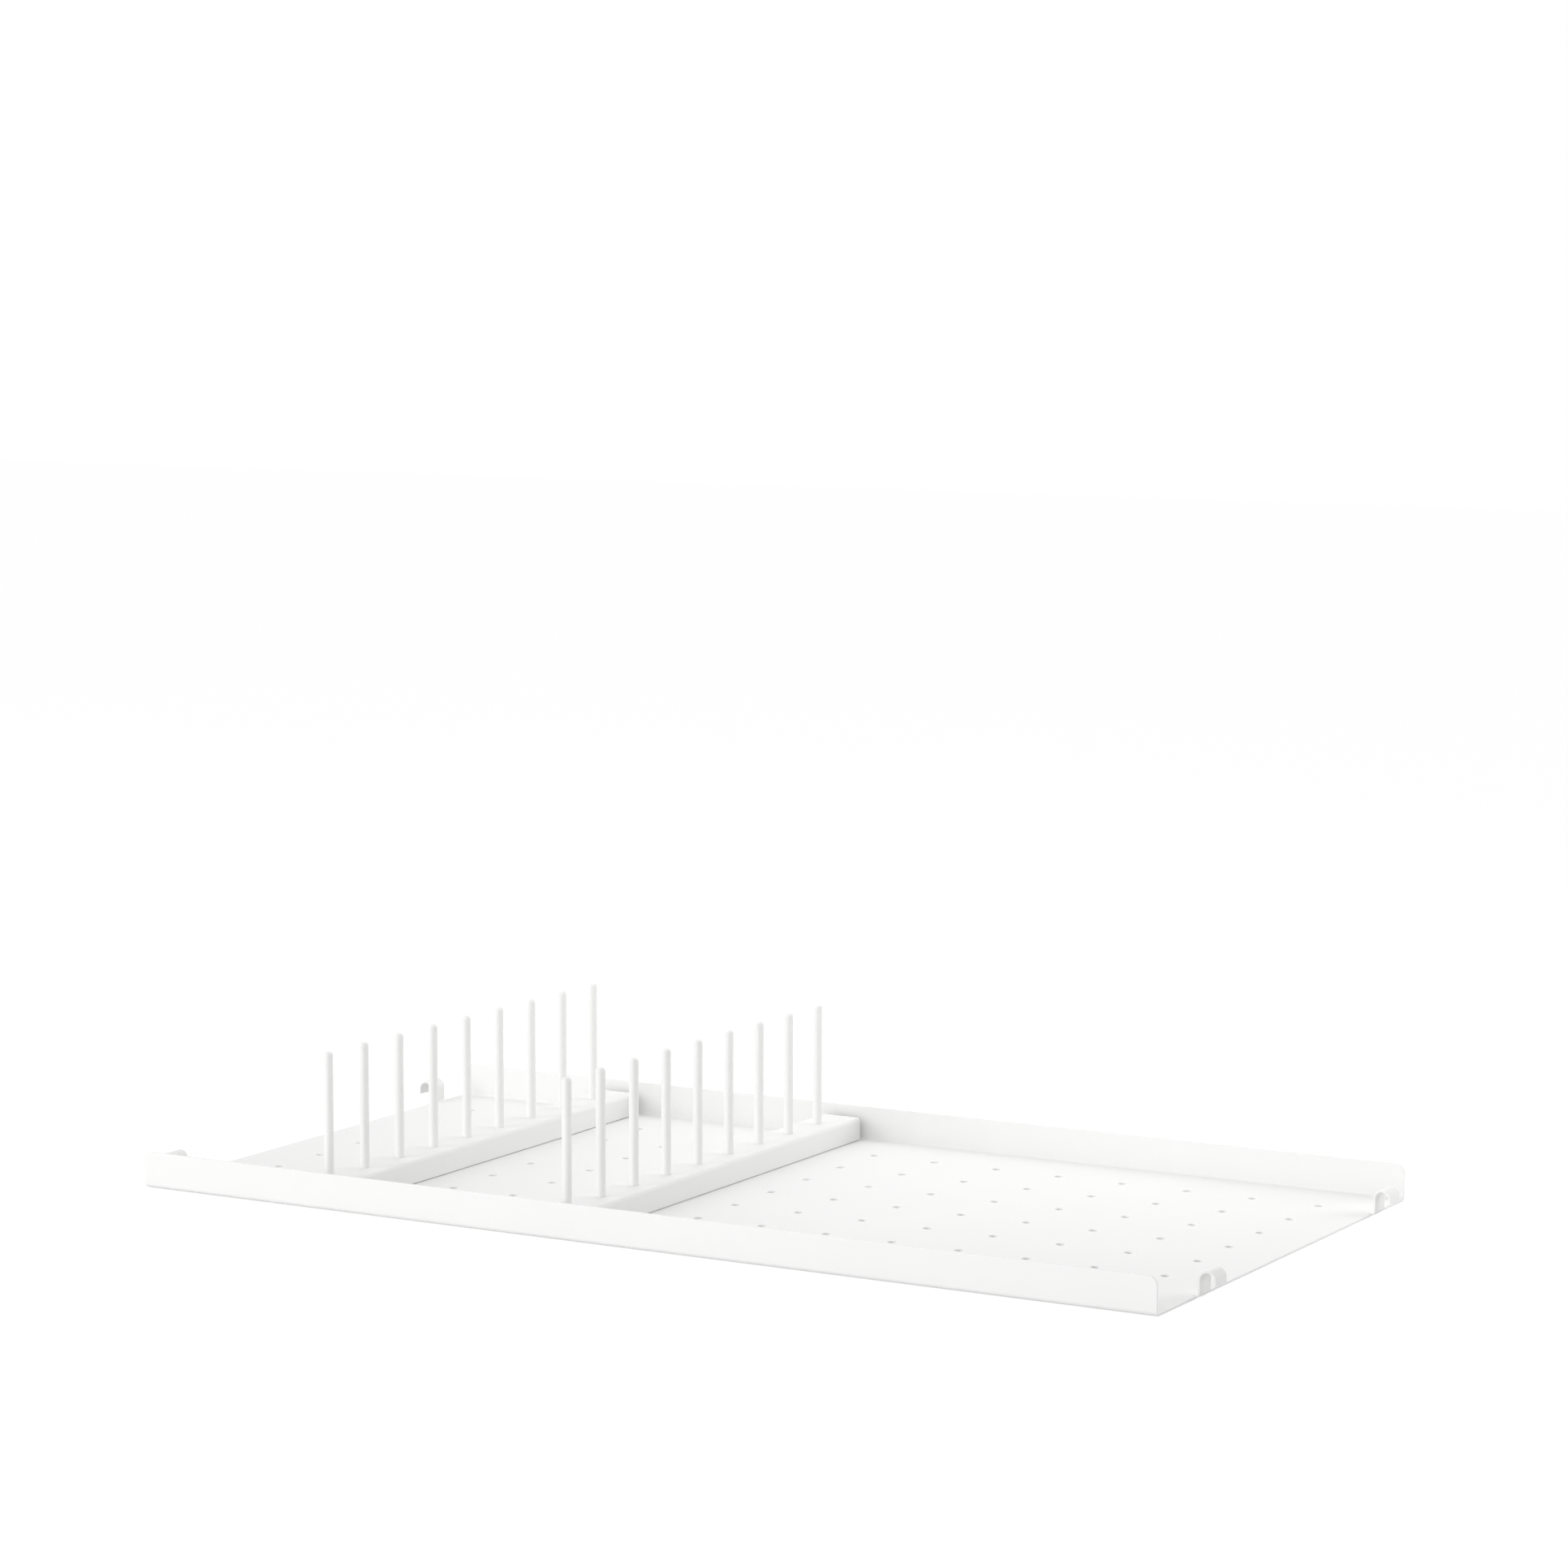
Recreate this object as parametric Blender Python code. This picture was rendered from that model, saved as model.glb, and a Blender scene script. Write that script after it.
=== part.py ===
"""Plate rack: a folded sheet-steel shelf tray with two sliding bars of upright pegs.

Sizes are in metres. The origin is under the middle of the tray, +Z is up and -Y is the front.
Every folded piece is drawn as the middle surface of its sheet, and a Solidify modifier gives it thickness.
"""

import math

import bmesh
import bpy
from mathutils import Matrix

MM = 0.001

# Fits between neighbouring pieces
CLEARANCE = 0.3 * MM

# Tray
TRAY_WIDTH = 580 * MM
TRAY_DEPTH = 300 * MM
SHEET = 1.0 * MM
LIP_HEIGHT = 19 * MM
LIP_BEND_RADIUS = 1.5 * MM
LIP_CORNER_RADIUS = 4.5 * MM

# Perforated floor
HOLE_DIAMETER = 4.3 * MM
HOLE_COLUMNS = 15
HOLE_ROWS = 7
HOLE_SIDE_MARGIN = 31 * MM
HOLE_FRONT_MARGIN = 39 * MM
HOLE_SIDES = 12

# Hooks on the ends of the tray
HOOK_WIDTH = 12.5 * MM
HOOK_BEND_RADIUS = 1.0 * MM
HOOK_BEND_START = 0.8 * MM
HOOK_ARCH_RADIUS = 3.5 * MM
HOOK_TOP = 13.3 * MM
HOOK_LEG_END = 5.5 * MM
HOOK_FROM_FRONT = {"left": 31 * MM, "right": 51 * MM}
HOOK_FROM_REAR = {"left": 27 * MM, "right": 36 * MM}
RELIEF_WIDTH = 1.5 * MM
RELIEF_DEPTH = 2.0 * MM

# Bars across the tray
BAR_PLACE = {"left": -182.8 * MM, "right": -38.9 * MM}
BAR_WIDTH = 24 * MM
BAR_HEIGHT = 11.9 * MM
BAR_SHEET = 1.0 * MM
BAR_BEND_RADIUS = 1.0 * MM
BAR_END_GAP = 4.5 * MM

# Pegs standing in the bars
PEG_COUNT = 9
PEG_DIAMETER = 5 * MM
PEG_RISE = 65.9 * MM
PEG_FRONT_MARGIN = 8.3 * MM
PEG_REAR_MARGIN = 26.7 * MM
PEG_FLANGE_REACH = 1.25 * MM
PEG_FLANGE_THICKNESS = 1.5 * MM
PEG_SIDES = 16

# Plugs in the ends of the bars, which the bars stand on
FOOT_LENGTH = 3.5 * MM
FOOT_INSET = 0.5 * MM
FOOT_PROUD = 0.3 * MM
FOOT_ROUNDING = 1.2 * MM

# Sizes that follow from those above
FLOOR_MIDDLE = SHEET / 2
BAR_UNDERSIDE = SHEET + CLEARANCE + FOOT_PROUD
BAR_TOP = BAR_UNDERSIDE + BAR_HEIGHT
BAR_LENGTH = TRAY_DEPTH - 2 * SHEET - 2 * BAR_END_GAP
PEG_PITCH = (BAR_LENGTH - PEG_FRONT_MARGIN - PEG_REAR_MARGIN) / (PEG_COUNT - 1)
PEG_HOLE_DIAMETER = PEG_DIAMETER + 2 * CLEARANCE

# Steps in a curve
BEND_STEPS = 4
CORNER_STEPS = 5
ARCH_STEPS = 9
DOME_STEPS = 4

# Finishes: colour, roughness
FINISHES = {
    "tray_powder_coat": ((0.86, 0.86, 0.855), 0.42),
    "bar_powder_coat": ((0.86, 0.86, 0.855), 0.42),
    "peg_powder_coat": ((0.87, 0.87, 0.865), 0.4),
    "foot_plastic": ((0.7, 0.7, 0.69), 0.6),
}


def finish(name):
    """The Principled BSDF material of this name, made on first use."""
    made = bpy.data.materials.get(name)
    if made:
        return made
    colour, roughness = FINISHES[name]
    made = bpy.data.materials.new(name)
    made.use_nodes = True
    shader = made.node_tree.nodes["Principled BSDF"]
    shader.inputs["Base Color"].default_value = (*colour, 1)
    shader.inputs["Roughness"].default_value = roughness
    shader.inputs["Metallic"].default_value = 0
    made.diffuse_color = (*colour, 1)
    return made


def place(name, mesh_builder, material=None, parent=None, location=(0, 0, 0)):
    """Turns the bmesh into an object of this name in the scene."""
    data = bpy.data.meshes.new(name)
    mesh_builder.to_mesh(data)
    mesh_builder.free()
    made = bpy.data.objects.new(name, data)
    bpy.context.scene.collection.objects.link(made)
    made.location = location
    made.parent = parent
    if material:
        data.materials.append(finish(material))
    return made


def arc(centre, radius, start, end, steps):
    """Points in a plane along an arc, with angles in degrees and both ends included."""
    angles = [math.radians(start + (end - start) * step / steps) for step in range(steps + 1)]
    return [(centre[0] + radius * math.cos(a), centre[1] + radius * math.sin(a)) for a in angles]


class Sheet:
    """The middle surface of a folded sheet, where faces that share a point share its vertex."""

    def __init__(self):
        self.mesh = bmesh.new()
        self.known = {}

    def vertex(self, point):
        key = tuple(round(value / (0.001 * MM)) for value in point)
        if key not in self.known:
            self.known[key] = self.mesh.verts.new(point)
        return self.known[key]

    def face(self, points):
        self.mesh.faces.new([self.vertex(point) for point in points])

    def strip(self, rows):
        """Faces between each row of points and the next."""
        for low, high in zip(rows, rows[1:]):
            for i in range(len(low) - 1):
                self.face([low[i], low[i + 1], high[i + 1], high[i]])

    def solid(self, name, thickness, material, parent=None):
        bmesh.ops.recalc_face_normals(self.mesh, faces=self.mesh.faces[:])
        made = place(name, self.mesh, material, parent)
        thicken = made.modifiers.new("sheet thickness", "SOLIDIFY")
        thicken.thickness = thickness
        thicken.offset = 0
        thicken.use_even_offset = True
        thicken.use_quality_normals = True
        return made


def punch(target, name, diameter, sides, centres, height):
    """Cuts round holes along Z through the target, one at each centre."""
    pins = bmesh.new()
    for centre in centres:
        bmesh.ops.create_cone(
            pins,
            cap_ends=True,
            segments=sides,
            radius1=diameter / 2,
            radius2=diameter / 2,
            depth=height,
            matrix=Matrix.Translation(centre),
        )
    cutter = place(name, pins, parent=target.parent)
    cutter.hide_render = True
    cutter.display_type = "WIRE"
    cut = target.modifiers.new(name, "BOOLEAN")
    cut.operation = "DIFFERENCE"
    cut.solver = "EXACT"
    cut.object = cutter


def hook_spans(side):
    """The Y range of each hook's tongue on this end of the tray, front one first."""
    centres = (-TRAY_DEPTH / 2 + HOOK_FROM_FRONT[side], TRAY_DEPTH / 2 - HOOK_FROM_REAR[side])
    return [(centre - HOOK_WIDTH / 2, centre + HOOK_WIDTH / 2) for centre in centres]


def hook_path():
    """The tongue's middle line as (distance out from the tray's end, height), from floor to free end."""
    bend = HOOK_BEND_RADIUS + SHEET / 2
    arch = HOOK_ARCH_RADIUS + SHEET / 2
    leg = bend - HOOK_BEND_START
    arch_height = HOOK_TOP - HOOK_ARCH_RADIUS - SHEET
    return [
        (-RELIEF_DEPTH, FLOOR_MIDDLE),
        *arc((-HOOK_BEND_START, FLOOR_MIDDLE + bend), bend, -90, 0, BEND_STEPS),
        *arc((leg + arch, arch_height), arch, 180, 0, ARCH_STEPS),
        (leg + 2 * arch, HOOK_LEG_END),
    ]


def add_floor(sheet):
    """The flat floor between the bends: one face in the middle, and an end strip left open at each tongue."""
    flat = TRAY_DEPTH / 2 - LIP_BEND_RADIUS - SHEET
    outline = []
    for side, outward in (("left", -1), ("right", 1)):
        inner, outer = outward * (TRAY_WIDTH / 2 - RELIEF_DEPTH), outward * TRAY_WIDTH / 2
        lines = [-flat]
        for front, rear in hook_spans(side):
            lines += [front - RELIEF_WIDTH, front, rear, rear + RELIEF_WIDTH]
        lines.append(flat)
        for front, rear in list(zip(lines, lines[1:]))[::4]:
            corners = ((inner, front), (outer, front), (outer, rear), (inner, rear))
            sheet.face([(x, y, FLOOR_MIDDLE) for x, y in corners])
        outline += [(inner, y, FLOOR_MIDDLE) for y in lines[::outward]]
    sheet.face(outline)


def add_lip(sheet, facing, lines_across):
    """The bend and upstand along the front (facing -1) or the rear (facing 1)."""
    bend = LIP_BEND_RADIUS + SHEET / 2
    wall = TRAY_DEPTH / 2 - SHEET / 2
    path = arc((wall - bend, FLOOR_MIDDLE + bend), bend, -90, 0, BEND_STEPS)
    sheet.strip([[(x, facing * y, z) for x in lines_across] for y, z in path])
    side = TRAY_WIDTH / 2
    corner = (side - LIP_CORNER_RADIUS, LIP_HEIGHT - LIP_CORNER_RADIUS)
    right = arc(corner, LIP_CORNER_RADIUS, 0, 90, CORNER_STEPS)
    left = [(-x, z) for x, z in reversed(right)]
    foot = [(x, FLOOR_MIDDLE + bend) for x in lines_across]
    sheet.face([(x, facing * wall, z) for x, z in foot + right + left])


def add_hooks(sheet, side):
    """Both tongues on one end of the tray, each folded up and over."""
    outward = -1 if side == "left" else 1
    path = [(outward * (TRAY_WIDTH / 2 + out), height) for out, height in hook_path()]
    for front, rear in hook_spans(side):
        sheet.strip([[(x, front, z), (x, rear, z)] for x, z in path])


def make_tray():
    sheet = Sheet()
    side = TRAY_WIDTH / 2
    lines_across = [-side, -side + RELIEF_DEPTH, side - RELIEF_DEPTH, side]
    add_floor(sheet)
    for facing in (-1, 1):
        add_lip(sheet, facing, lines_across)
    for end in ("left", "right"):
        add_hooks(sheet, end)
    tray = sheet.solid("tray", SHEET, "tray_powder_coat")
    column_pitch = (TRAY_WIDTH - 2 * HOLE_SIDE_MARGIN) / (HOLE_COLUMNS - 1)
    row_pitch = (TRAY_DEPTH - 2 * HOLE_FRONT_MARGIN) / (HOLE_ROWS - 1)
    centres = [
        (
            -TRAY_WIDTH / 2 + HOLE_SIDE_MARGIN + column * column_pitch,
            -TRAY_DEPTH / 2 + HOLE_FRONT_MARGIN + row * row_pitch,
            FLOOR_MIDDLE,
        )
        for column in range(HOLE_COLUMNS)
        for row in range(HOLE_ROWS)
    ]
    punch(tray, "perforation", HOLE_DIAMETER, HOLE_SIDES, centres, 4 * SHEET)


def peg_places():
    """Y of each peg, front one first."""
    first = -BAR_LENGTH / 2 + PEG_FRONT_MARGIN
    return [first + number * PEG_PITCH for number in range(PEG_COUNT)]


def make_channel(side, slide):
    bend = BAR_BEND_RADIUS + BAR_SHEET / 2
    wall = BAR_WIDTH / 2 - BAR_SHEET / 2
    top = BAR_TOP - BAR_SHEET / 2
    right = [(wall, BAR_UNDERSIDE), *arc((wall - bend, top - bend), bend, 0, 90, BEND_STEPS)]
    left = [(-x, z) for x, z in reversed(right)]
    sheet = Sheet()
    sheet.strip([[(x, -BAR_LENGTH / 2, z), (x, BAR_LENGTH / 2, z)] for x, z in right + left])
    channel = sheet.solid(f"bar_{side}", BAR_SHEET, "bar_powder_coat", slide)
    centres = [(0, y, top) for y in peg_places()]
    punch(channel, f"peg_holes_{side}", PEG_HOLE_DIAMETER, PEG_SIDES, centres, 4 * BAR_SHEET)


def make_peg(name, slide, y):
    """A round rod with a domed tip, and a flange that is fixed under the channel's top."""
    radius = PEG_DIAMETER / 2
    flange = radius + PEG_FLANGE_REACH
    flange_top = BAR_TOP - BAR_SHEET - CLEARANCE
    flange_foot = flange_top - PEG_FLANGE_THICKNESS
    tip = BAR_TOP + PEG_RISE
    outline = [
        (0, flange_foot),
        (flange, flange_foot),
        (flange, flange_top),
        (radius, flange_top),
        *arc((0, tip - radius), radius, 0, 90, DOME_STEPS),
    ]
    rod = bmesh.new()
    points = [rod.verts.new((r, 0, z)) for r, z in outline]
    edges = [rod.edges.new(pair) for pair in zip(points, points[1:])]
    bmesh.ops.spin(
        rod, geom=points + edges, cent=(0, 0, 0), axis=(0, 0, 1), angle=2 * math.pi, steps=PEG_SIDES
    )
    bmesh.ops.remove_doubles(rod, verts=rod.verts[:], dist=0.001 * MM)
    bmesh.ops.recalc_face_normals(rod, faces=rod.faces[:])
    for face in rod.faces:
        face.smooth = True
    peg = place(name, rod, "peg_powder_coat", slide, (0, y, 0))
    peg.data.set_sharp_from_angle(angle=math.radians(40))


def make_foot(name, slide, facing):
    """A plug in one end of the channel, standing a little below its walls."""
    width = BAR_WIDTH - 2 * BAR_SHEET - 2 * CLEARANCE
    low = BAR_UNDERSIDE - FOOT_PROUD
    high = BAR_TOP - BAR_SHEET - CLEARANCE
    block = bmesh.new()
    bmesh.ops.create_cube(block, size=1, matrix=Matrix.Diagonal((width, FOOT_LENGTH, high - low, 1)))
    y = facing * (BAR_LENGTH / 2 - FOOT_INSET - FOOT_LENGTH / 2)
    foot = place(name, block, "foot_plastic", slide, (0, y, (low + high) / 2))
    rounding = foot.modifiers.new("rounding", "BEVEL")
    rounding.width = FOOT_ROUNDING
    rounding.segments = 2


def make_bar(side):
    """One bar with its pegs and feet, on an empty that lies on its slide's axis."""
    slide = bpy.data.objects.new(f"slide_{side}", None)
    bpy.context.scene.collection.objects.link(slide)
    slide.location = (BAR_PLACE[side], 0, 0)
    make_channel(side, slide)
    for number, y in enumerate(peg_places(), start=1):
        make_peg(f"peg_{side}_{number}", slide, y)
    make_foot(f"foot_{side}_front", slide, -1)
    make_foot(f"foot_{side}_rear", slide, 1)


def main():
    for old in list(bpy.data.objects):
        bpy.data.objects.remove(old, do_unlink=True)
    make_tray()
    for side in ("left", "right"):
        make_bar(side)


main()
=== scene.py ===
"""Looks of the plate rack: a white folded-steel shelf tray with two sliding bars of upright pegs.

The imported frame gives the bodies, the joints and the solids. Every solid is replaced by a finer surface
that is worked out with numpy: the tray and the channels as the middle surface of their sheet, which gets
its thickness and its softened edges from modifiers, the pegs as turned profiles, and the plugs as a
rounded outline carried from one end to the other.
Lengths are in metres, +Z is up and -Y is the front.
"""

from __future__ import annotations

import logging
import math
from dataclasses import dataclass
from enum import Enum
from typing import Any, Sequence

import bmesh
import bpy
import numpy as np
from mathutils import Matrix, Vector


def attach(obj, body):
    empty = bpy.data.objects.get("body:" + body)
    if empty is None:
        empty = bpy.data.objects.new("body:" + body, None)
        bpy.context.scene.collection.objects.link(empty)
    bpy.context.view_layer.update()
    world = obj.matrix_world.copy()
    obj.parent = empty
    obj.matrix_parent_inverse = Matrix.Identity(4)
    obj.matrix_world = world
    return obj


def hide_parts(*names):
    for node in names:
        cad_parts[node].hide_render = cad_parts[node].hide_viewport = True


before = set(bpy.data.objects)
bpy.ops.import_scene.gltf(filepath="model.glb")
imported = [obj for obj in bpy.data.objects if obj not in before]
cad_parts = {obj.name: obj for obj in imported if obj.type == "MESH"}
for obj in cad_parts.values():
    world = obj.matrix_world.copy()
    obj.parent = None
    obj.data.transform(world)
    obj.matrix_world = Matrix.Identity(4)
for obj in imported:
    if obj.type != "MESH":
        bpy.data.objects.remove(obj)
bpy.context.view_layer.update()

MM = 0.001
IMAGE_SIDE = 1932
log = logging.getLogger("plate_rack")


class Side(Enum):
    """The two ends of the tray, and the bar that stands nearer each."""

    LEFT = "left"
    RIGHT = "right"

    @property
    def outward(self) -> int:
        """The sign of X that points out of the tray on this side."""
        return -1 if self is Side.LEFT else 1


class End(Enum):
    """The two long sides of the tray, where its lips are."""

    FRONT = "front"
    REAR = "rear"

    @property
    def facing(self) -> int:
        """The sign of Y that points out of the tray at this end."""
        return -1 if self is End.FRONT else 1


def arc(centre: tuple[float, float], radius: float, start: float, end: float, steps: int) -> np.ndarray:
    """Points of a circular arc: its centre plus its radius times the cosine and sine of even angles.

    Args:
        centre: the arc's centre in its plane.
        radius: the arc's radius.
        start: the first angle in degrees.
        end: the last angle in degrees.
        steps: how many equal steps lie between them.

    Returns:
        An array of steps + 1 points, two numbers each.
    """
    angles = np.radians(np.linspace(start, end, steps + 1))
    return np.asarray(centre) + radius * np.stack([np.cos(angles), np.sin(angles)], axis=-1)


def cross(first: np.ndarray, second: np.ndarray) -> tuple[np.ndarray, np.ndarray]:
    """Two parameter grids, the first running down the rows and the second along the columns."""
    grids = np.meshgrid(first, second, indexing="ij")
    return grids[0], grids[1]


def in_line(first: float, second: np.ndarray) -> np.ndarray:
    """Points in the plane that share their first number, one for each second number."""
    return np.stack([np.full(len(second), first), second], axis=-1)


def with_height(points: np.ndarray, z: float) -> np.ndarray:
    """Gives points in the plane one height, as a third number each."""
    return np.concatenate([points, np.full((*points.shape[:-1], 1), z)], axis=-1)


def cell_bounds(lines: np.ndarray, low: float, high: float) -> np.ndarray:
    """Where cells around these lines meet: halfway between them, and at both given ends."""
    return np.concatenate([[low], (lines[1:] + lines[:-1]) / 2, [high]])


def subdivided(bounds: np.ndarray, steps: int) -> np.ndarray:
    """Every line where a cell's outline has a point: the bounds, with equal steps from each to the next.

    Args:
        bounds: where the cells meet.
        steps: how many steps each cell has.

    Returns:
        The lines from the first bound to the last.
    """
    share = np.arange(steps) / steps
    inner = bounds[:-1, None] + (bounds[1:] - bounds[:-1])[:, None] * share
    return np.append(inner.reshape(-1), bounds[-1])


def holed_cells(
    centres: np.ndarray, low: np.ndarray, high: np.ndarray, radius: float, collar: float, per_side: int
) -> np.ndarray:
    """Flat cells with a round hole: rings from the hole's circle, over a wider circle, to a rectangle.

    Both circles are cut into as many equal angles as the rectangle's outline has points, starting at the
    corner with the largest X and the smallest Y.

    Args:
        centres: the middle of each hole, one row each.
        low: each rectangle's corner with the smallest X and Y.
        high: each rectangle's corner with the largest X and Y.
        radius: the holes' radius.
        collar: how far the wider circle lies outside the hole.
        per_side: how many steps each side of a rectangle has.

    Returns:
        An array of shape (cells, 3 rings, 4 * per_side, 2).
    """
    steps = np.arange(per_side) / per_side
    ones, zeros = np.ones(per_side), np.zeros(per_side)
    across = np.concatenate([ones, 1 - steps, zeros, steps])
    along = np.concatenate([steps, ones, 1 - steps, zeros])
    outline = low[:, None] + (high - low)[:, None] * np.stack([across, along], axis=-1)
    circle = arc((0, 0), 1, -45, 315, 4 * per_side)[:-1]
    rings = [centres[:, None] + reach * circle for reach in (radius, radius + collar)]
    return np.stack([*rings, outline], axis=1)


class Surface:
    """Patches of points that share their seams, welded into one mesh."""

    WELD = 0.002 * MM
    KEY_SHIFT = 0.318

    def __init__(self) -> None:
        """Starts with no patch."""
        self._points: list[np.ndarray] = []
        self._quads: list[np.ndarray] = []
        self._outlines: list[np.ndarray] = []
        self._count = 0

    def _take(self, points: np.ndarray) -> np.ndarray:
        """Stores points.

        Args:
            points: an array whose last axis holds three numbers for each point.

        Returns:
            The points' numbers, in the same arrangement.
        """
        flat = points.reshape(-1, 3)
        numbers = self._count + np.arange(len(flat)).reshape(points.shape[:-1])
        self._points.append(flat)
        self._count += len(flat)
        return numbers

    def grid(self, points: np.ndarray, closed: bool = False) -> None:
        """Adds a quad between each point, the next in its row and the two below them.

        Args:
            points: an array of shape (rows, columns, 3), or with more axes in front for separate patches.
            closed: whether each row's last point joins its first.
        """
        numbers = self._take(points)
        if closed:
            numbers = np.concatenate([numbers, numbers[..., :1]], axis=-1)
        upper, lower = numbers[..., :-1, :], numbers[..., 1:, :]
        corners = [upper[..., :-1], upper[..., 1:], lower[..., 1:], lower[..., :-1]]
        self._quads.append(np.stack(corners, axis=-1).reshape(-1, 4))

    def outline(self, points: np.ndarray) -> None:
        """Adds one flat face whose edge runs through the points in order."""
        self._outlines.append(self._take(points))

    def mesh(self, name: str) -> bpy.types.Mesh:
        """Welds points that coincide, and turns quads that lost a corner at a pole into triangles.

        Points with the same rounded key coincide. The shift keeps round sizes off the borders between keys.

        Args:
            name: the mesh's name.

        Returns:
            The mesh, smooth shaded and with its faces turned the same way.
        """
        points = np.concatenate(self._points)
        keys = np.round(points / self.WELD + self.KEY_SHIFT).astype(np.int64)
        _, first, number = np.unique(keys, axis=0, return_index=True, return_inverse=True)
        number = number.reshape(-1)
        quads = number[np.concatenate(self._quads)]
        top_pole, low_pole = quads[:, 0] == quads[:, 1], quads[:, 2] == quads[:, 3]
        faces = [
            *quads[~top_pole & ~low_pole].tolist(),
            *quads[low_pole & ~top_pole][:, :3].tolist(),
            *quads[top_pole & ~low_pole][:, 1:].tolist(),
            *[number[outline].tolist() for outline in self._outlines],
        ]
        made = bpy.data.meshes.new(name)
        made.from_pydata(points[first].tolist(), [], faces)
        turned = bmesh.new()
        turned.from_mesh(made)
        bmesh.ops.recalc_face_normals(turned, faces=turned.faces[:])
        turned.to_mesh(made)
        turned.free()
        made.polygons.foreach_set("use_smooth", np.ones(len(made.polygons), dtype=bool))
        return made


class Value:
    """An output of a shader node that takes part in Python arithmetic."""

    def __init__(self, graph: ShaderGraph, socket: bpy.types.NodeSocket | None) -> None:
        """Wraps one output of a node in this graph, or none for a node that ends the tree."""
        self.graph = graph
        self.socket = socket

    def _math(self, operation: str, *terms: Value | float) -> Value:
        """One Math node on these terms."""
        return self.graph.node("ShaderNodeMath", {"operation": operation}, dict(enumerate(terms)))

    def __add__(self, other: Value | float) -> Value:
        """The sum of two values."""
        return self._math("ADD", self, other)

    def __sub__(self, other: Value | float) -> Value:
        """This value less the other."""
        return self._math("SUBTRACT", self, other)

    def __mul__(self, other: Value | float) -> Value:
        """The product of two values."""
        return self._math("MULTIPLY", self, other)

    def __radd__(self, other: float) -> Value:
        """The sum, with a plain number on the left."""
        return self._math("ADD", other, self)

    def __rsub__(self, other: float) -> Value:
        """A plain number less this value."""
        return self._math("SUBTRACT", other, self)

    def __rmul__(self, other: float) -> Value:
        """The product, with a plain number on the left."""
        return self._math("MULTIPLY", other, self)

    def above(self, low: float, high: float) -> Value:
        """A soft step of this value.

        Args:
            low: where the step is still 0.
            high: where the step has reached 1.

        Returns:
            The step, from 0 to 1.
        """
        settings = {"interpolation_type": "SMOOTHSTEP"}
        inputs = {"Value": self, "From Min": low, "From Max": high}
        return self.graph.node("ShaderNodeMapRange", settings, inputs, "Result")

    def larger(self, other: Value | float) -> Value:
        """The larger of two values."""
        return self._math("MAXIMUM", self, other)

    def size(self) -> Value:
        """The value without its sign."""
        return self._math("ABSOLUTE", self)


class ShaderGraph:
    """The node tree of a material or the world, with one method that makes any node."""

    NOISE_MIDDLE = 0.5

    def __init__(self, tree: bpy.types.NodeTree) -> None:
        """Empties the tree."""
        self.tree = tree
        tree.nodes.clear()

    def node(
        self,
        kind: str,
        settings: dict[str, Any] | None = None,
        inputs: dict[str | int, Any] | None = None,
        output: str | int = 0,
    ) -> Value:
        """Makes a node.

        Args:
            kind: the node's type name.
            settings: its properties, which are set before its sockets.
            inputs: a value or a link for each named or numbered input.
            output: the name or number of the output to hand back.

        Returns:
            That output.
        """
        made = self.tree.nodes.new(kind)
        for name, setting in (settings or {}).items():
            setattr(made, name, setting)
        for name, given in (inputs or {}).items():
            socket = self._find(made.inputs, name)
            if isinstance(given, Value):
                self.tree.links.new(given.socket, socket)
            else:
                socket.default_value = given
        return Value(self, self._find(made.outputs, output) if made.outputs else None)

    @staticmethod
    def _find(sockets: Any, name: str | int) -> bpy.types.NodeSocket:
        """Finds a socket of a node.

        Args:
            sockets: the node's inputs or its outputs.
            name: the socket's number, or the name of one that is in use.

        Returns:
            The socket.
        """
        if isinstance(name, int):
            return sockets[name]
        return next(socket for socket in sockets if socket.name == name and socket.enabled)

    def noise(self, place: Value, size: float, detail: float = 2.0, roughness: float = 0.5) -> Value:
        """Soft random values from 0 to 1 whose blotches are about this size across."""
        inputs = {"Vector": place, "Scale": 1 / size, "Detail": detail, "Roughness": roughness}
        return self.node("ShaderNodeTexNoise", None, inputs, "Fac")

    def tint(self, share: Value, first: Sequence[float], second: Sequence[float]) -> Value:
        """A colour that goes from the first to the second as the share goes from 0 to 1."""
        inputs = {"Factor": share, "A": (*first, 1.0), "B": (*second, 1.0)}
        return self.node("ShaderNodeMix", {"data_type": "RGBA"}, inputs, "Result")

    def bump(self, height: Value, relief: float, strength: float) -> Value:
        """A normal that follows this height, of which 1 stands for the relief's depth."""
        inputs = {"Strength": strength, "Distance": relief, "Height": height}
        return self.node("ShaderNodeBump", None, inputs, "Normal")

    def principled(self, inputs: dict[str | int, Any]) -> None:
        """Ends the tree in one Principled shader with these inputs."""
        shader = self.node("ShaderNodeBsdfPrincipled", None, inputs)
        self.node("ShaderNodeOutputMaterial", None, {"Surface": shader})


def new_material(name: str) -> tuple[bpy.types.Material, ShaderGraph, Value]:
    """Makes a material without a shader.

    Args:
        name: the material's name.

    Returns:
        The material, its node tree and the object coordinates in it.
    """
    made = bpy.data.materials.new(name)
    made.use_nodes = True
    graph = ShaderGraph(made.node_tree)
    return made, graph, graph.node("ShaderNodeTexCoord", output="Object")


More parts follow.
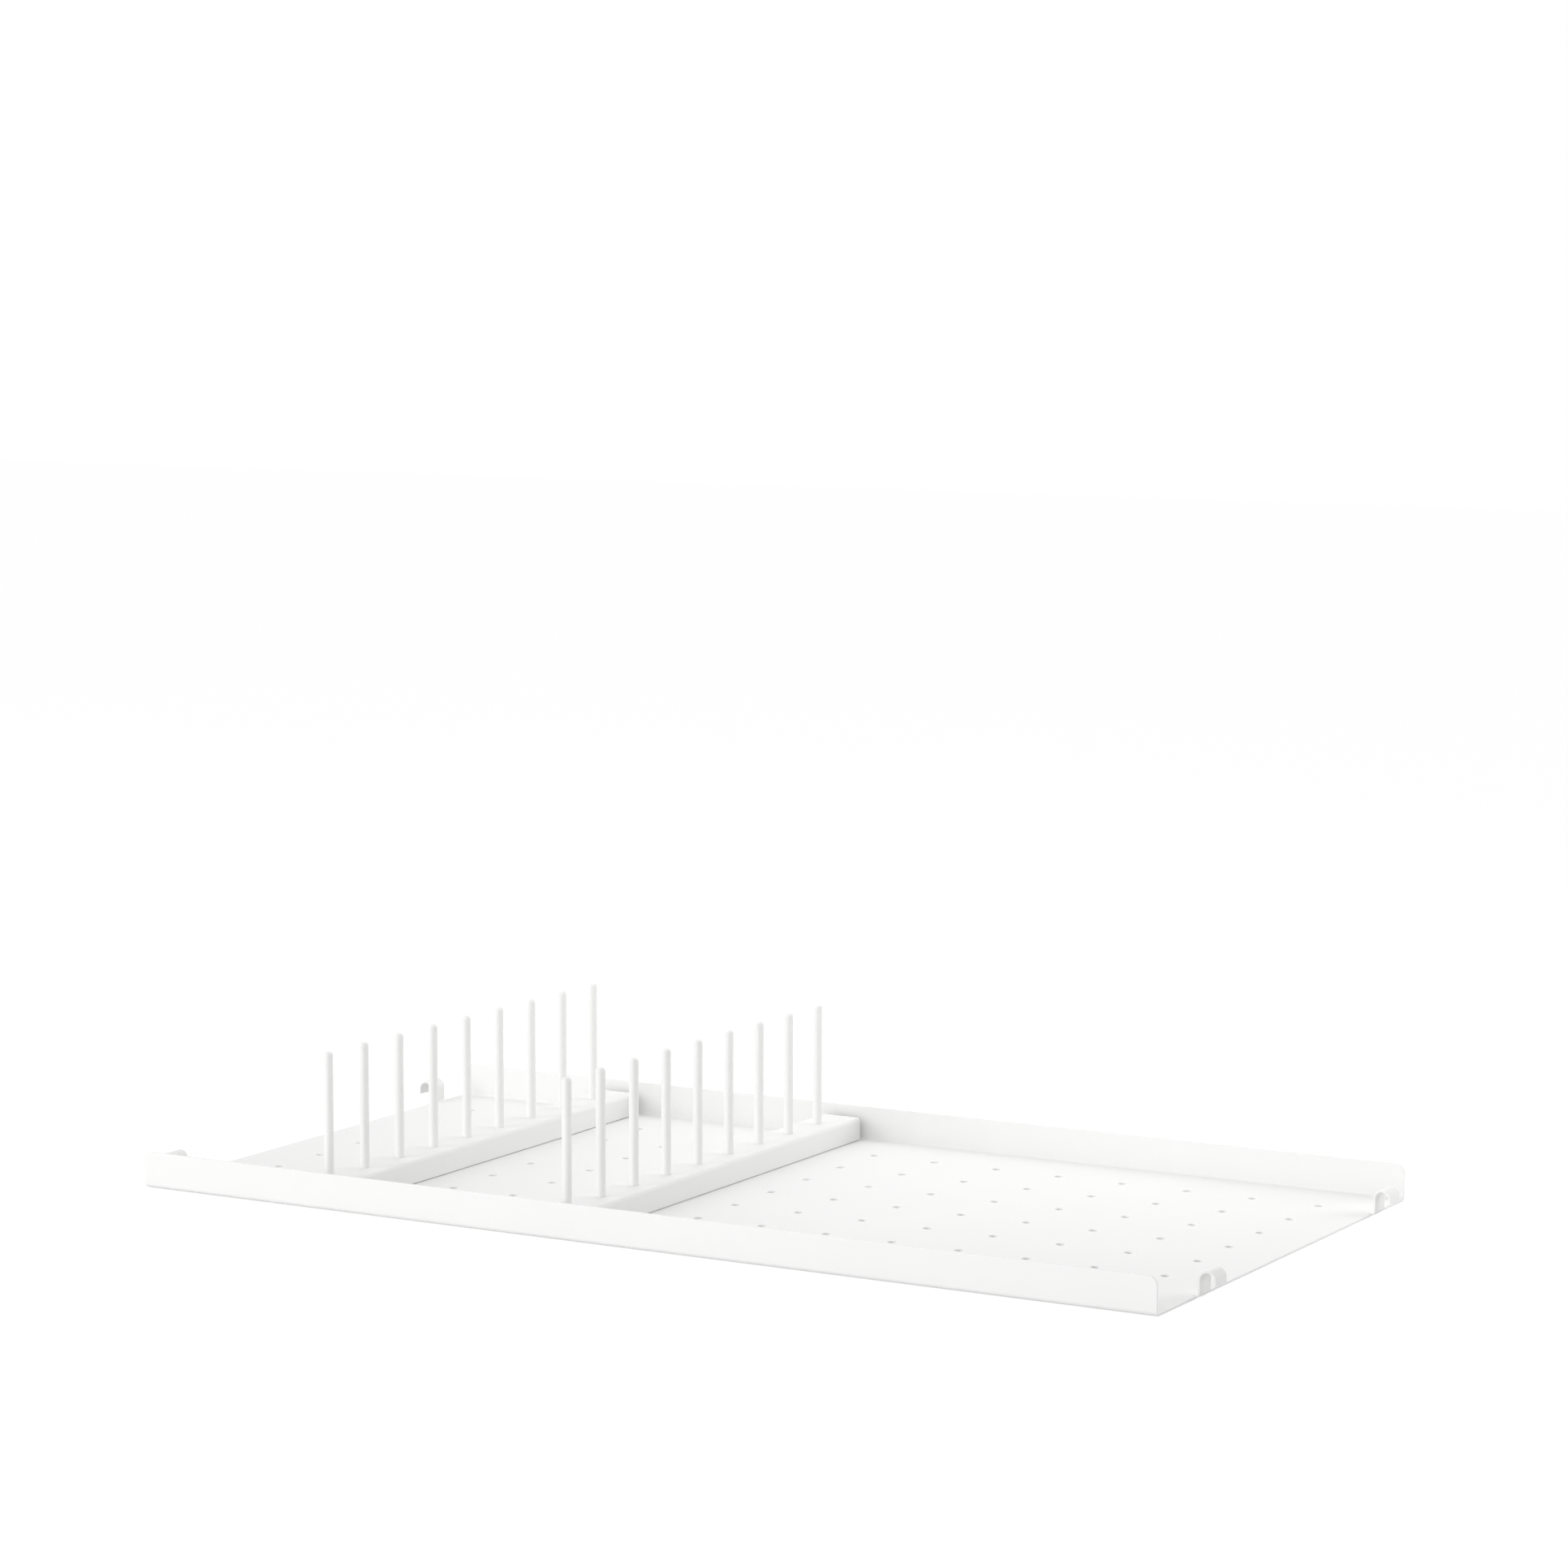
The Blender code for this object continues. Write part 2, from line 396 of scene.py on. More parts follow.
@dataclass(frozen=True)
class PowderCoat:
    """Satin white powder coat: an even film with a fine orange peel, faint clouds and a few small nibs."""

    name: str
    slot: str
    colour: tuple[float, float, float]
    cloud_colour: tuple[float, float, float]
    roughness: float
    shine: float = 0.3
    relief: float = 0.006 * MM
    relief_strength: float = 1.0
    peel_size: float = 1.5 * MM
    peel_gloss: float = 0.08
    grain_size: float = 0.3 * MM
    grain_detail: float = 1.0
    grain_rise: float = 0.12
    cloud_size: float = 70 * MM
    cloud_detail: float = 3.0
    cloud_roughness: float = 0.6
    cloud_start: float = 0.35
    cloud_contrast: float = 1.6
    cloud_gloss: float = 0.1
    nib_spacing: float = 17 * MM
    nib_size: float = 0.28 * MM
    nib_core: float = 0.3
    nib_rise: float = 1.5
    nib_dullness: float = 0.4

    def material(self) -> bpy.types.Material:
        """Makes the film.

        The nibs are round spots about the points of a cell pattern.

        Returns:
            The material, in object coordinates.
        """
        made, graph, place = new_material(self.name)
        peel = graph.noise(place, self.peel_size)
        grain = graph.noise(place, self.grain_size, self.grain_detail)
        cloud = graph.noise(place, self.cloud_size, self.cloud_detail, self.cloud_roughness)
        inputs = {"Vector": place, "Scale": 1 / self.nib_spacing, "Randomness": 1.0}
        away = graph.node("ShaderNodeTexVoronoi", {"feature": "F1"}, inputs, "Distance")
        nib_share = self.nib_size / self.nib_spacing
        nib = 1 - away.above(self.nib_core * nib_share, nib_share)
        height = peel + grain * self.grain_rise + nib * self.nib_rise
        clear = (cloud - self.cloud_start) * self.cloud_contrast - nib * self.nib_dullness
        uneven_clouds = (cloud - graph.NOISE_MIDDLE) * self.cloud_gloss
        uneven_peel = (peel - graph.NOISE_MIDDLE) * self.peel_gloss
        graph.principled(
            {
                "Base Color": graph.tint(clear, self.cloud_colour, self.colour),
                "Roughness": self.roughness + uneven_clouds + uneven_peel,
                "Normal": graph.bump(height, self.relief, self.relief_strength),
                "Specular IOR Level": self.shine,
            }
        )
        return made


@dataclass(frozen=True)
class MouldedPlastic:
    """Pale grey moulded plastic: a spark-eroded grain, slow flow marks and a soft sheen."""

    name: str
    slot: str
    colour: tuple[float, float, float]
    flow_colour: tuple[float, float, float]
    roughness: float
    refraction: float = 1.49
    relief: float = 0.03 * MM
    relief_strength: float = 0.5
    grain_size: float = 0.18 * MM
    grain_detail: float = 3.0
    grain_roughness: float = 0.6
    grain_share: float = 0.3
    grain_gloss: float = 0.1
    flow_size: float = 6 * MM
    flow_share: float = 0.7
    flow_gloss: float = 0.12

    def material(self) -> bpy.types.Material:
        """Makes the plastic.

        Returns:
            The material, in object coordinates.
        """
        made, graph, place = new_material(self.name)
        grain = graph.noise(place, self.grain_size, self.grain_detail, self.grain_roughness)
        flow = graph.noise(place, self.flow_size)
        clear = flow * self.flow_share + grain * self.grain_share
        uneven_flow = (flow - graph.NOISE_MIDDLE) * self.flow_gloss
        uneven_grain = (grain - graph.NOISE_MIDDLE) * self.grain_gloss
        graph.principled(
            {
                "Base Color": graph.tint(clear, self.flow_colour, self.colour),
                "Roughness": self.roughness + uneven_flow + uneven_grain,
                "Normal": graph.bump(grain, self.relief, self.relief_strength),
                "IOR": self.refraction,
            }
        )
        return made


Finish = PowderCoat | MouldedPlastic

TRAY_COAT = PowderCoat("tray_powder_coat", "tray_paint", (0.868, 0.868, 0.862), (0.85, 0.85, 0.845), 0.58)
BAR_COAT = PowderCoat("bar_powder_coat", "bar_paint", (0.868, 0.868, 0.862), (0.85, 0.85, 0.845), 0.58)
PEG_COAT = PowderCoat("peg_powder_coat", "peg_paint", (0.872, 0.872, 0.866), (0.856, 0.856, 0.85), 0.56)
FOOT_PLASTIC = MouldedPlastic("foot_plastic", "foot_plastic", (0.72, 0.72, 0.71), (0.66, 0.66, 0.65), 0.58)


class Workshop:
    """Turns meshes into dressed pieces that ride on their body and stand for their solid."""

    EDGE_SEGMENTS = 2
    EDGE_ANGLE = math.radians(50)
    FLAT_WEIGHT = 100

    def __init__(self) -> None:
        """Starts with no finish made."""
        self._made: dict[str, bpy.types.Material] = {}
        self.pieces: list[bpy.types.Object] = []

    def finish(self, finish: Finish) -> bpy.types.Material:
        """Makes a finish's material on its first use.

        Args:
            finish: the finish.

        Returns:
            Its material.
        """
        if finish.name not in self._made:
            self._made[finish.name] = finish.material()
        return self._made[finish.name]

    def piece(self, mesh: bpy.types.Mesh, finish: Finish, body: str, node: str) -> bpy.types.Object:
        """Places a mesh in the scene as a piece.

        Args:
            mesh: its shape, already where it belongs.
            finish: what it is coated with or made of.
            body: the body that it rides on.
            node: the solid that it stands for.

        Returns:
            The piece.
        """
        made = bpy.data.objects.new(mesh.name, mesh)
        bpy.context.scene.collection.objects.link(made)
        mesh.materials.append(self.finish(finish))
        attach(made, body)
        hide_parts(node)
        self.pieces.append(made)
        return made

    @staticmethod
    def flatten(piece: bpy.types.Object, weight: int) -> None:
        """Lets large faces decide the shading along their edges.

        Args:
            piece: the piece.
            weight: how much more the large faces count, where 50 is not at all.
        """
        flat = piece.modifiers.new("flat_faces", "WEIGHTED_NORMAL")
        flat.mode = "FACE_AREA"
        flat.weight = weight
        flat.keep_sharp = False

    def fold(self, piece: bpy.types.Object, thickness: float, edge: float) -> None:
        """Gives a sheet's middle surface its thickness, softens its cut edges and evens its shading.

        Args:
            piece: the piece, whose mesh is the middle surface.
            thickness: the sheet's thickness.
            edge: how far the softening reaches from a cut edge.
        """
        thick = piece.modifiers.new("sheet_thickness", "SOLIDIFY")
        thick.thickness = thickness
        thick.offset = 0
        thick.use_even_offset = True
        thick.use_quality_normals = True
        soft = piece.modifiers.new("soft_edges", "BEVEL")
        soft.width = edge
        soft.segments = self.EDGE_SEGMENTS
        soft.limit_method = "ANGLE"
        soft.angle_limit = self.EDGE_ANGLE
        self.flatten(piece, self.FLAT_WEIGHT)


@dataclass
class Tray:
    """The folded tray: perforated floor, front and rear lips, and hook tongues on both ends."""

    width: float = 580 * MM
    depth: float = 300 * MM
    sheet: float = 1.0 * MM
    edge_softness: float = 0.15 * MM
    lip_height: float = 19 * MM
    lip_bend: float = 1.5 * MM
    lip_corner: float = 4.5 * MM
    hole_diameter: float = 4.7 * MM
    hole_columns: int = 15
    hole_rows: int = 7
    hole_side_margin: float = 31 * MM
    hole_front_margin: float = 39 * MM
    collar: float = 0.9 * MM
    hook_width: float = 12.5 * MM
    hook_bend: float = 1.0 * MM
    hook_bend_start: float = 0.8 * MM
    hook_arch: float = 3.5 * MM
    hook_top: float = 13.3 * MM
    hook_leg_end: float = 5.5 * MM
    hook_end_corner: float = 1.2 * MM
    left_hook_from_front: float = 31 * MM
    left_hook_from_rear: float = 27 * MM
    right_hook_from_front: float = 51 * MM
    right_hook_from_rear: float = 36 * MM
    relief_width: float = 1.5 * MM
    relief_depth: float = 2.0 * MM
    cell_steps: int = 8
    bend_steps: int = 10
    wall_steps: int = 2
    corner_steps: int = 12
    arch_steps: int = 28
    hook_corner_steps: int = 6
    line_digits: int = 7

    def hook_middles(self, side: Side) -> tuple[float, float]:
        """Where the hooks of one end stand.

        Args:
            side: the end.

        Returns:
            Y of the front hook's middle and of the rear hook's.
        """
        from_front, from_rear = self.right_hook_from_front, self.right_hook_from_rear
        if side is Side.LEFT:
            from_front, from_rear = self.left_hook_from_front, self.left_hook_from_rear
        return -self.depth / 2 + from_front, self.depth / 2 - from_rear

    @property
    def floor_height(self) -> float:
        """Height of the floor's middle surface."""
        return self.sheet / 2

    @property
    def flat_depth(self) -> float:
        """Half the floor's flat depth, up to where the lips' bends start."""
        return self.depth / 2 - self.sheet - self.lip_bend

    @property
    def corner_start(self) -> float:
        """Distance from the middle at which the lips' round corners start."""
        return self.width / 2 - self.lip_corner

    def hole_lines(self) -> tuple[np.ndarray, np.ndarray]:
        """Where the holes lie, spread evenly between the margins.

        Returns:
            X of the columns of holes and Y of the rows.
        """
        side = self.width / 2 - self.hole_side_margin
        front = self.depth / 2 - self.hole_front_margin
        return np.linspace(-side, side, self.hole_columns), np.linspace(-front, front, self.hole_rows)

    def cell_block(self) -> float:
        """Half the width of the block of holed cells, half a pitch outside its last columns."""
        columns, _ = self.hole_lines()
        return float(columns[-1] + (columns[1] - columns[0]) / 2)

    def lines_across(self) -> np.ndarray:
        """Where the lips are divided: at the cells' points, the corners' start, the reliefs and the ends.

        Returns:
            Each X once, in order.
        """
        columns, _ = self.hole_lines()
        cells = subdivided(cell_bounds(columns, -self.cell_block(), self.cell_block()), self.cell_steps)
        ends = np.array([self.corner_start, self.width / 2 - self.relief_depth, self.width / 2])
        return np.unique(np.round(np.concatenate([cells, ends, -ends]), self.line_digits))

    def add_floor(self, surface: Surface) -> None:
        """Adds the holed cells, the plain margins beside them, and the end strips between the tongues.

        Args:
            surface: where the faces go.
        """
        columns, rows = self.hole_lines()
        across = cell_bounds(columns, -self.cell_block(), self.cell_block())
        along = cell_bounds(rows, -self.flat_depth, self.flat_depth)
        pairs = ((columns, rows), (across[:-1], along[:-1]), (across[1:], along[1:]))
        centres, low, high = (np.stack(cross(x, y), axis=-1).reshape(-1, 2) for x, y in pairs)
        cells = holed_cells(centres, low, high, self.hole_diameter / 2, self.collar, self.cell_steps)
        surface.grid(with_height(cells, self.floor_height), closed=True)
        for side in Side:
            self._add_end(surface, side, subdivided(along, self.cell_steps))

    def _add_end(self, surface: Surface, side: Side, beside: np.ndarray) -> None:
        """Adds the margin beside the cells and the strips outside the reliefs on one end.

        Of the stretches between the cuts along the end, every fourth is such a strip, and the others are
        reliefs and tongues.

        Args:
            surface: where the faces go.
            side: the end.
            beside: Y of the cells' points along the margin.
        """
        relief, outer = self.width / 2 - self.relief_depth, self.width / 2
        half, wide = self.hook_width / 2, self.hook_width / 2 + self.relief_width
        tongues = [middle + np.array([-wide, -half, half, wide]) for middle in self.hook_middles(side)]
        cuts = np.concatenate([[-self.flat_depth], *tongues, [self.flat_depth]])
        margin = [
            in_line(self.cell_block(), beside[::-1]),
            [(self.corner_start, -self.flat_depth)],
            in_line(relief, cuts),
            [(self.corner_start, self.flat_depth)],
        ]
        self._flat(surface, side, np.concatenate(margin))
        for front, rear in list(zip(cuts, cuts[1:]))[::4]:
            strip = [(relief, rear), (relief, front), (outer, front), (outer, rear)]
            self._flat(surface, side, np.array(strip))

    def _flat(self, surface: Surface, side: Side, edge: np.ndarray) -> None:
        """Adds one floor face from its outline, given as distance out and Y."""
        surface.outline(with_height(edge * np.array([side.outward, 1.0]), self.floor_height))

    def add_lip(self, surface: Surface, end: End) -> None:
        """Adds a lip: a bend carried along X, a wall above it, and a band with a quarter disc at each end.

        The disc's rings lie at the same distances from its middle as the band's rows do from the wall's top.

        Args:
            surface: where the faces go.
            end: which lip.
        """
        lines = self.lines_across()
        bend = self.lip_bend + self.sheet / 2
        wall = self.depth / 2 - self.sheet / 2
        foot = self.floor_height + bend
        path = arc((wall - bend, foot), bend, -90, 0, self.bend_steps)
        y, x = cross(path[:, 0], lines)
        z, _ = cross(path[:, 1], lines)
        surface.grid(np.stack([x, end.facing * y, z], axis=-1))
        shoulder = self.lip_height - self.lip_corner
        rings = np.array([0, self.lip_corner - self.relief_depth, self.lip_corner])
        # The last two lines at each end, of the relief and of the end itself, lie in the round corners.
        between_corners = lines[2:-2]
        patches = [
            cross(lines, np.linspace(foot, shoulder, self.wall_steps + 1)),
            cross(between_corners, shoulder + rings),
        ]
        reach, turn = cross(rings, np.radians(np.linspace(0, 90, self.corner_steps + 1)))
        for side in Side:
            x = side.outward * (self.corner_start + reach * np.cos(turn))
            patches.append((x, shoulder + reach * np.sin(turn)))
        for x, z in patches:
            surface.grid(np.stack([x, np.full_like(x, end.facing * wall), z], axis=-1))

    def hook_path(self) -> np.ndarray:
        """The tongue's middle line, as distance out from the tray's end and height.

        A quarter circle turns up from the floor, and a half circle over the rung ends in the outer leg.

        Returns:
            One row for each point, from the floor over the arch to where the free end's corners start.
        """
        bend, arch = self.hook_bend + self.sheet / 2, self.hook_arch + self.sheet / 2
        inner = bend - self.hook_bend_start
        outer = inner + 2 * arch
        return np.concatenate(
            [
                [(-self.relief_depth, self.floor_height)],
                arc((-self.hook_bend_start, self.floor_height + bend), bend, -90, 0, self.bend_steps),
                arc((inner + arch, self.hook_top - self.sheet / 2 - arch), arch, 180, 0, self.arch_steps),
                [(outer, self.hook_leg_end + self.hook_end_corner)],
            ]
        )

    def add_hooks(self, surface: Surface, side: Side) -> None:
        """Adds both tongues of one end: the hook's path carried across its width, with a rounded free end.

        Args:
            surface: where the faces go.
            side: the end.
        """
        path = self.hook_path()
        out = side.outward * (self.width / 2 + path[:, 0])
        half, radius = self.hook_width / 2, self.hook_end_corner
        corner = arc((half - radius, self.hook_leg_end + radius), radius, -90, 0, self.hook_corner_steps)
        tip = np.concatenate([corner, corner[::-1] * np.array([-1, 1])])
        for middle in self.hook_middles(side):
            x, y = cross(out, np.array([middle - half, middle + half]))
            z, _ = cross(path[:, 1], y[0])
            surface.grid(np.stack([x, y, z], axis=-1))
            surface.outline(np.stack([np.full(len(tip), out[-1]), middle + tip[:, 0], tip[:, 1]], axis=-1))

    def build(self, workshop: Workshop) -> None:
        """Builds and dresses the tray.

        Args:
            workshop: where the piece goes.
        """
        surface = Surface()
        self.add_floor(surface)
        for end in End:
            self.add_lip(surface, end)
        for side in Side:
            self.add_hooks(surface, side)
        piece = workshop.piece(surface.mesh("folded_tray"), TRAY_COAT, "tray_body", "tray")
        workshop.fold(piece, self.sheet, self.edge_softness)


@dataclass
class PegBar:
    """A channel that lies across the tray, with its row of pegs and the plugs that it stands on."""

    side: Side
    place: float
    tray: Tray
    clearance: float = 0.3 * MM
    width: float = 24 * MM
    height: float = 12.2 * MM
    sheet: float = 1.0 * MM
    bend: float = 1.0 * MM
    end_gap: float = 4.5 * MM
    edge_softness: float = 0.15 * MM
    collar: float = 0.8 * MM
    peg_count: int = 9
    peg_diameter: float = 5 * MM
    peg_gap: float = 0.1 * MM
    peg_rise: float = 65.9 * MM
    peg_front_margin: float = 8.3 * MM
    peg_rear_margin: float = 26.7 * MM
    tip_height: float = 2.1 * MM
    flange_reach: float = 1.25 * MM
    flange_thickness: float = 1.5 * MM
    flange_edge: float = 0.25 * MM
    foot_length: float = 3.5 * MM
    foot_inset: float = 0.5 * MM
    foot_rounding: float = 1.2 * MM
    foot_least_rounding: float = 0.2 * MM
    foot_edge: float = 0.45 * MM
    foot_rim: float = 1.6 * MM
    foot_recess: float = 1.1 * MM
    foot_recess_slope: float = 0.3 * MM
    cell_steps: int = 8
    bend_steps: int = 10
    edge_steps: int = 4
    peg_around: int = 48
    shaft_steps: int = 8
    tip_steps: int = 12
    foot_corner_steps: int = 5
    peg_flat_weight: int = 80

    @property
    def body(self) -> str:
        """The body that all this bar's pieces ride on."""
        return f"bar_{self.side.value}_body"

    @property
    def underside(self) -> float:
        """Height of the channel's lower edges."""
        return self.tray.sheet + self.clearance

    @property
    def top(self) -> float:
        """Height of the channel's top."""
        return self.underside + self.height

    @property
    def inside_top(self) -> float:
        """Height up to which the flanges and the plugs reach under the channel's top."""
        return self.top - self.sheet - self.clearance

    @property
    def length(self) -> float:
        """The channel's length, from lip to lip less the gaps."""
        return self.tray.depth - 2 * self.tray.sheet - 2 * self.end_gap

    def peg_lines(self) -> np.ndarray:
        """Y of the pegs, front one first."""
        first = -self.length / 2 + self.peg_front_margin
        return np.linspace(first, self.length / 2 - self.peg_rear_margin, self.peg_count)

    def add_top(self, surface: Surface, half: float, lines: np.ndarray) -> None:
        """Adds the flat top as one holed cell for each peg.

        Args:
            surface: where the faces go.
            half: half the flat top's width.
            lines: Y at which one cell ends and the next begins.
        """
        centres = in_line(self.place, self.peg_lines())
        low, high = in_line(self.place - half, lines[:-1]), in_line(self.place + half, lines[1:])
        hole = self.peg_diameter / 2 + self.peg_gap
        cells = holed_cells(centres, low, high, hole, self.collar, self.cell_steps)
        surface.grid(with_height(cells, self.top - self.sheet / 2), closed=True)

    def build_channel(self, workshop: Workshop) -> None:
        """Builds the channel: the holed top, and a bend and a wall carried along Y on each side of it.

        Args:
            workshop: where the piece goes.
        """
        bend = self.bend + self.sheet / 2
        wall = self.width / 2 - self.sheet / 2
        high = self.top - self.sheet / 2
        surface = Surface()
        bounds = cell_bounds(self.peg_lines(), -self.length / 2, self.length / 2)
        self.add_top(surface, wall - bend, bounds)
        turn = arc((wall - bend, high - bend), bend, 90, 0, self.bend_steps)
        path = np.concatenate([turn, [(wall, (high - bend + self.underside) / 2), (wall, self.underside)]])
        lines = subdivided(bounds, self.cell_steps)
        for side in Side:
            x, y = cross(self.place + side.outward * path[:, 0], lines)
            z, _ = cross(path[:, 1], lines)
            surface.grid(np.stack([x, y, z], axis=-1))
        mesh = surface.mesh(f"channel_{self.side.value}")
        piece = workshop.piece(mesh, BAR_COAT, self.body, f"bar_{self.side.value}")
        workshop.fold(piece, self.sheet, self.edge_softness)

    def build_peg(self, workshop: Workshop, number: int, y: float) -> None:
        """Builds a peg: an outline of radius and height turned about the peg's own axis.

        The outline runs from the flange's underside over its edge, up the rod and over the tip, which is a
        quarter of an ellipse: the cosine of an even angle times the radius, and its sine times the height.

        Args:
            workshop: where the piece goes.
            number: the peg's number, from the front.
            y: where the peg stands.
        """
        radius = self.peg_diameter / 2
        soft, rim = self.flange_edge, radius + self.flange_reach - self.flange_edge
        high = self.inside_top
        low = high - self.flange_thickness
        rod_end = self.top + self.peg_rise - self.tip_height
        outline = np.concatenate(
            [
                [(0, low)],
                arc((rim, low + soft), soft, -90, 0, self.edge_steps),
                arc((rim, high - soft), soft, 0, 90, self.edge_steps),
                in_line(radius, np.linspace(high, rod_end, self.shaft_steps, endpoint=False)),
                arc((0, 0), 1, 0, 90, self.tip_steps) * (radius, self.tip_height) + (0, rod_end),
            ]
        )
        turn = np.linspace(0, 2 * math.pi, self.peg_around, endpoint=False)
        reach, around = cross(outline[:, 0], turn)
        z, _ = cross(outline[:, 1], turn)
        points = np.stack([self.place + reach * np.cos(around), y + reach * np.sin(around), z], axis=-1)
        surface = Surface()
        surface.grid(points, closed=True)
        mesh = surface.mesh(f"rod_{self.side.value}_{number}")
        piece = workshop.piece(mesh, PEG_COAT, self.body, f"peg_{self.side.value}_{number}")
        workshop.flatten(piece, self.peg_flat_weight)

    def foot_rings(self, middle: float) -> np.ndarray:
        """The rings that a plug is made of, from its inner face's middle to the middle of its recess.

        Args:
            middle: how far a ring is drawn in to close to a point.

        Returns:
            One row for each ring: how far it is drawn in, and its place along the plug.
        """
        edge = arc((0, 0), self.foot_edge, 0, 90, self.edge_steps)
        bottom = self.foot_length - self.foot_recess
        outer_turn = np.array([self.foot_edge, self.foot_length - self.foot_edge])
        return np.concatenate(
            [
                [(middle, 0)],
                self.foot_edge - edge[::-1],
                outer_turn + edge * np.array([-1, 1]),
                [(self.foot_rim, self.foot_length), (self.foot_rim + self.foot_recess_slope, bottom)],
                [(middle, bottom)],
            ]
        )

    def build_foot(self, workshop: Workshop, end: End) -> None:
        """Builds a plug: a rounded rectangle carried along Y, drawn in at its edges and its outer recess.

        Each ring is the rectangle drawn in by a distance: its straight sides shorten and its corner arcs
        keep their angles.

        Args:
            workshop: where the piece goes.
            end: the channel's end that it closes.
        """
        half_width = self.width / 2 - self.sheet - self.clearance
        low, high = self.underside, self.inside_top
        rings = self.foot_rings(half_width)
        steps = self.foot_corner_steps
        corners = np.concatenate([arc((0, 0), 1, start, start + 90, steps) for start in (0, 90, 180, 270)])
        sign = np.repeat(np.array([[1, 1], [-1, 1], [-1, -1], [1, -1]]), steps + 1, axis=0)
        size = np.array([half_width, (high - low) / 2])
        inset, number = cross(rings[:, 0], np.arange(len(corners)))
        radius = np.clip(self.foot_rounding - inset, self.foot_least_rounding, None)[..., None]
        core = np.clip(size - inset[..., None] - radius, 0, None)
        open_ring = (inset < size[1])[..., None]
        flat = open_ring * (core * sign[number] + radius * corners[number])
        along = np.broadcast_to(rings[:, 1:2], inset.shape)
        y = end.facing * (self.length / 2 - self.foot_inset - self.foot_length + along)
        points = np.stack([self.place + flat[..., 0], y, (low + high) / 2 + flat[..., 1]], axis=-1)
        surface = Surface()
        surface.grid(points, closed=True)
        mesh = surface.mesh(f"plug_{self.side.value}_{end.value}")
        piece = workshop.piece(mesh, FOOT_PLASTIC, self.body, f"foot_{self.side.value}_{end.value}")
        workshop.flatten(piece, workshop.FLAT_WEIGHT)

    def build(self, workshop: Workshop) -> None:
        """Builds and dresses the channel, its pegs and its plugs.

        Args:
            workshop: where the pieces go.
        """
        self.build_channel(workshop)
        for number, y in enumerate(self.peg_lines(), start=1):
            self.build_peg(workshop, number, float(y))
        for end in End:
            self.build_foot(workshop, end)


@dataclass(frozen=True)
class Lamp:
    """A soft square lamp that faces the rack."""

    name: str
    place: tuple[float, float, float]
    side: float
    power: float
    aim: tuple[float, float, float] = (0.0, 0.0, 20 * MM)

    def build(self) -> None:
        """Hangs the lamp and turns it to what it lights."""
        data = bpy.data.lights.new(self.name, "AREA")
        data.shape = "SQUARE"
        data.size = self.side
        data.energy = self.power
        made = bpy.data.objects.new(self.name, data)
        bpy.context.scene.collection.objects.link(made)
        made.visible_camera = False
        made.location = self.place
        towards = Vector(self.aim) - Vector(self.place)
        made.rotation_euler = towards.to_track_quat("-Z", "Y").to_euler()


@dataclass(frozen=True)
class Glow:
    """Soft light from one direction of the surroundings, falling off as the cosine of the angle to it."""

    towards: tuple[float, float, float]
    strength: float


